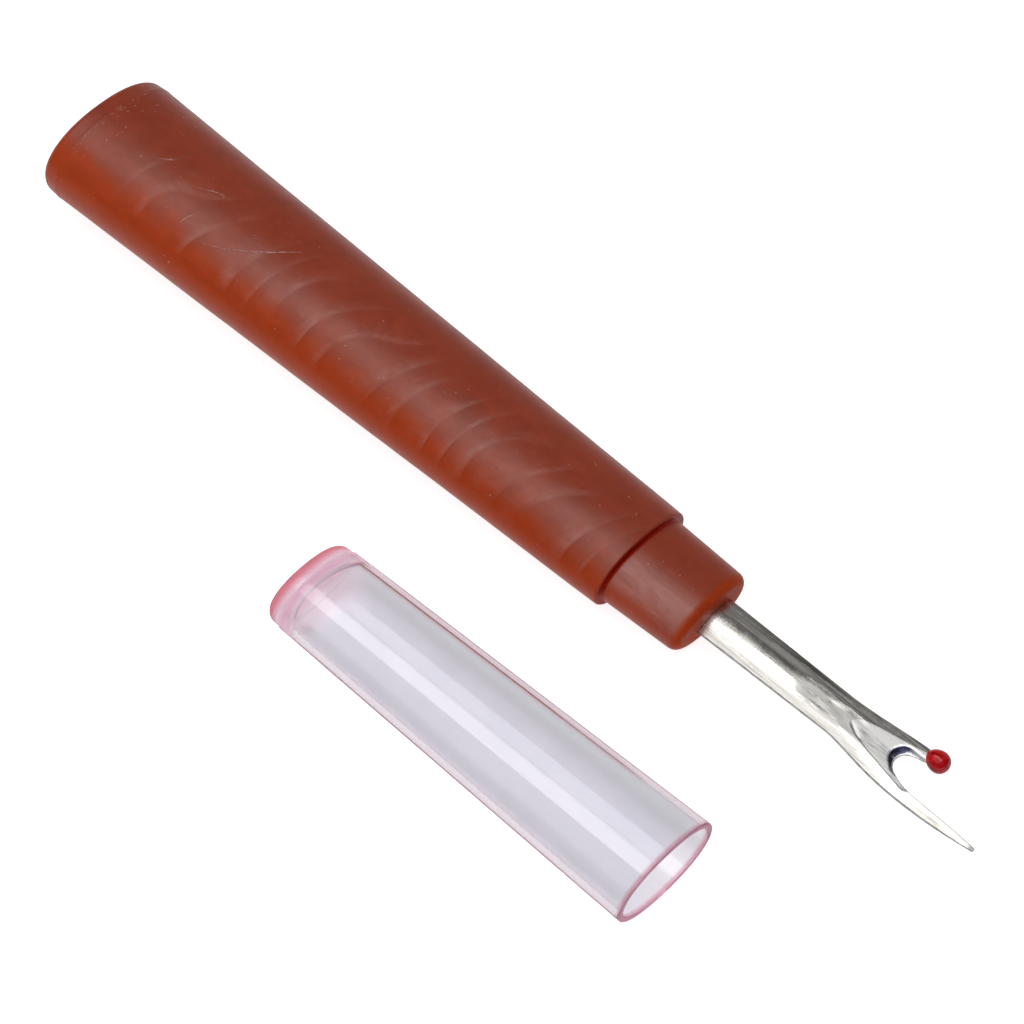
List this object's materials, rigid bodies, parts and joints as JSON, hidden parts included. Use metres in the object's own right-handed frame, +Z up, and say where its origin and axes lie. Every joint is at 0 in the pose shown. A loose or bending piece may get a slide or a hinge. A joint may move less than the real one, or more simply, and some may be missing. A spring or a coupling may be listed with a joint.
{
  "type": "seam ripper",
  "caption": "Seam ripper with a tapered oval handle, a forked steel blade with a bead on its short prong, and a clear push-on cap lying beside it.",
  "frame": {"origin": "middle of the footprint of the ripper and its cap, on the table that they lie on", "axes": "+X along the ripper from the butt to the blade's point, +Y towards the side away from the cap, +Z up from the table"},
  "size_m": [0.137, 0.0436, 0.0118],
  "materials": {
    "handle_plastic": "satin moulded, slightly translucent, with flow marks",
    "blade_steel": "bright drawn",
    "bead_plastic": "glossy",
    "cap_plastic": "clear, pale pink in thick places"
  },
  "bodies": {
    "ripper": {"handle": "handle_plastic", "blade": "blade_steel", "bead": "bead_plastic"},
    "cap": {"cap": "cap_plastic"}
  },
  "joints": [
    {"name": "cap_slide", "type": "slide", "parent": "ripper", "child": "cap", "axis": [1, 0, 0], "range_m": [-0.034, 0.018]}
  ]
}
